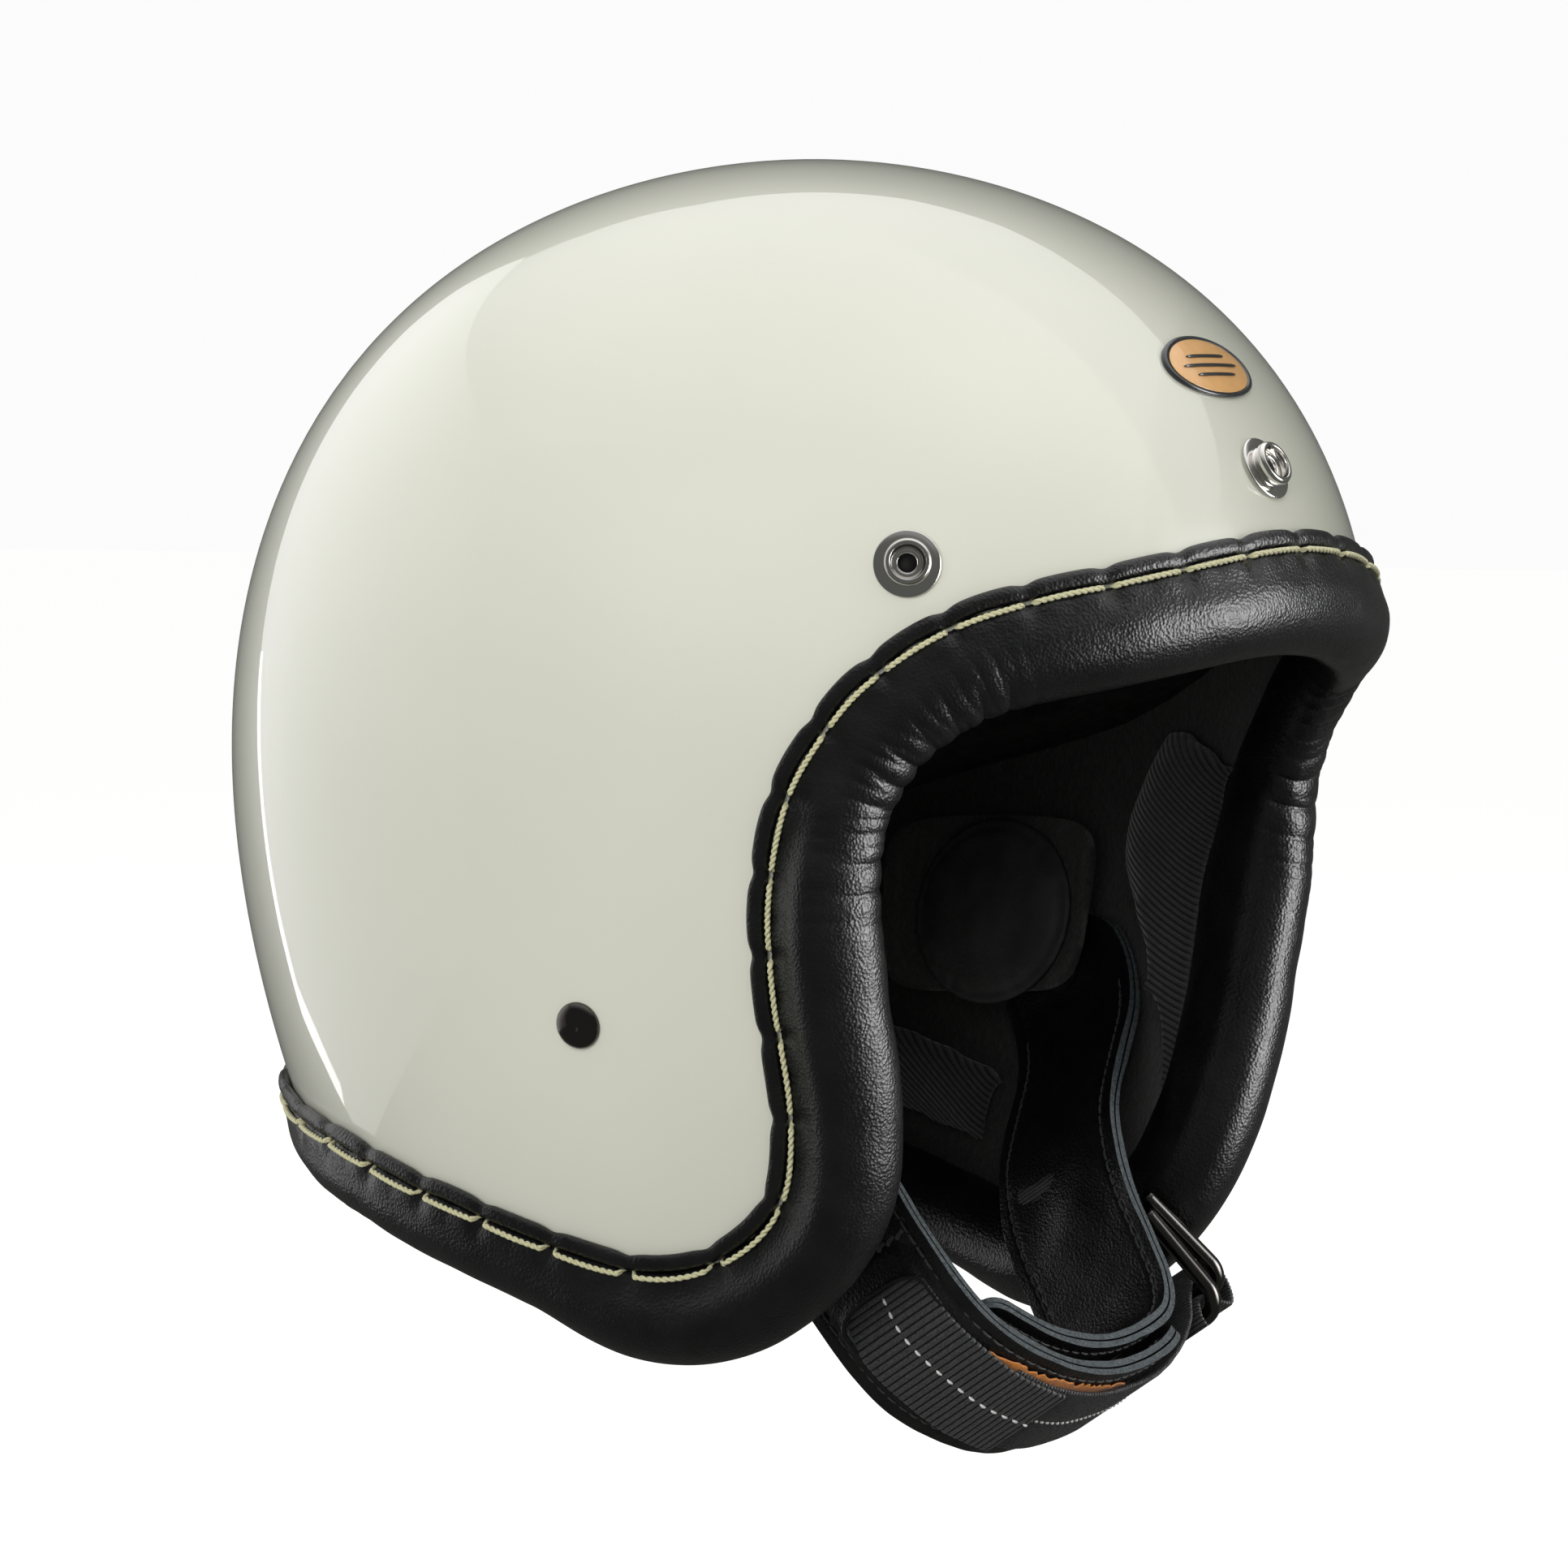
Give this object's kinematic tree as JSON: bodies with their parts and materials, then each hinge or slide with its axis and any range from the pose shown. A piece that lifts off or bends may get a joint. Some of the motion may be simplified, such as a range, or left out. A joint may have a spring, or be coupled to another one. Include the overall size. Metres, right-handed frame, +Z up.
{
  "type": "open face motorcycle helmet",
  "caption": "Open face riding helmet: glossy cream shell, leather rolled edge with stitched piping, snap studs for a visor, and a leather chin strap closed by twin D rings.",
  "frame": {"origin": "centre of the wearer's head at the level of the ears, inside the shell", "axes": "-Y is the front of the helmet, -X is the wearer's right, +Z is up"},
  "size_m": [0.2304, 0.277, 0.2925],
  "materials": {
    "shell_gelcoat": "high gloss cream gelcoat",
    "impact_foam": "dark expanded polystyrene",
    "lining_fleece": "soft brushed fleece",
    "rib_knit": "matte ribbed knit",
    "pebbled_leather": "black pebbled leather with a soft sheen",
    "roll_foam": "closed cell foam",
    "waxed_thread": "cream waxed thread",
    "nickel": "polished nickel",
    "dark_nickel": "polished dark nickel",
    "steel": "plain zinc plated steel",
    "strap_leather": "black leather with raw blue grey cut edges",
    "webbing": "coarse ribbed polyester webbing with a white tracer",
    "orange_ribbon": "orange woven ribbon",
    "badge_metal": "dark grey stamped metal",
    "badge_enamel": "tan orange fill"
  },
  "bodies": {
    "helmet": {"shell": "shell_gelcoat", "eps_liner": "impact_foam", "crown_pad": "lining_fleece", "forehead_pad": "lining_fleece", "neck_pad": "rib_knit", "cheek_pad_right": "rib_knit", "cheek_pad_left": "rib_knit", "ear_lining_right": "lining_fleece", "ear_lining_left": "lining_fleece", "ear_patch_right": "pebbled_leather", "ear_patch_left": "pebbled_leather", "edge_roll_leather": "pebbled_leather", "edge_roll_core": "roll_foam", "piping_bead": "pebbled_leather", "seam_thread": "waxed_thread", "snap_studs": "nickel", "snap_eyelets": "nickel", "snap_washers": "nickel", "rivet_caps": "dark_nickel", "rivet_shanks": "steel", "rivet_washers": "steel", "badge_plate": "badge_metal", "badge_inlay": "badge_enamel"},
    "chin_strap": {"right_strap_outer_leather": "strap_leather", "right_strap_inner_leather": "strap_leather", "left_strap_outer_leather": "strap_leather", "left_strap_inner_leather": "strap_leather", "right_webbing": "webbing", "chin_webbing": "webbing", "left_webbing": "webbing", "pull_tab": "orange_ribbon"},
    "outer_ring": {"d_ring_outer": "dark_nickel"},
    "inner_ring": {"d_ring_inner": "dark_nickel"}
  },
  "joints": [
    {"name": "chin_strap_swing", "type": "hinge", "parent": "helmet", "child": "chin_strap", "pos_m": [0, -0.01474, -0.07377], "axis": [1, 0, 0], "range_deg": [-3, 25]},
    {"name": "outer_ring_turn", "type": "hinge", "parent": "chin_strap", "child": "outer_ring", "pos_m": [0.0534, -0.05035, -0.13076], "axis": [0, 0.848, -0.5299], "range_deg": [-2, 2]},
    {"name": "inner_ring_turn", "type": "hinge", "parent": "chin_strap", "child": "inner_ring", "pos_m": [0.0501, -0.05269, -0.13449], "axis": [0, 0.848, -0.5299], "range_deg": [-2, 2]}
  ]
}
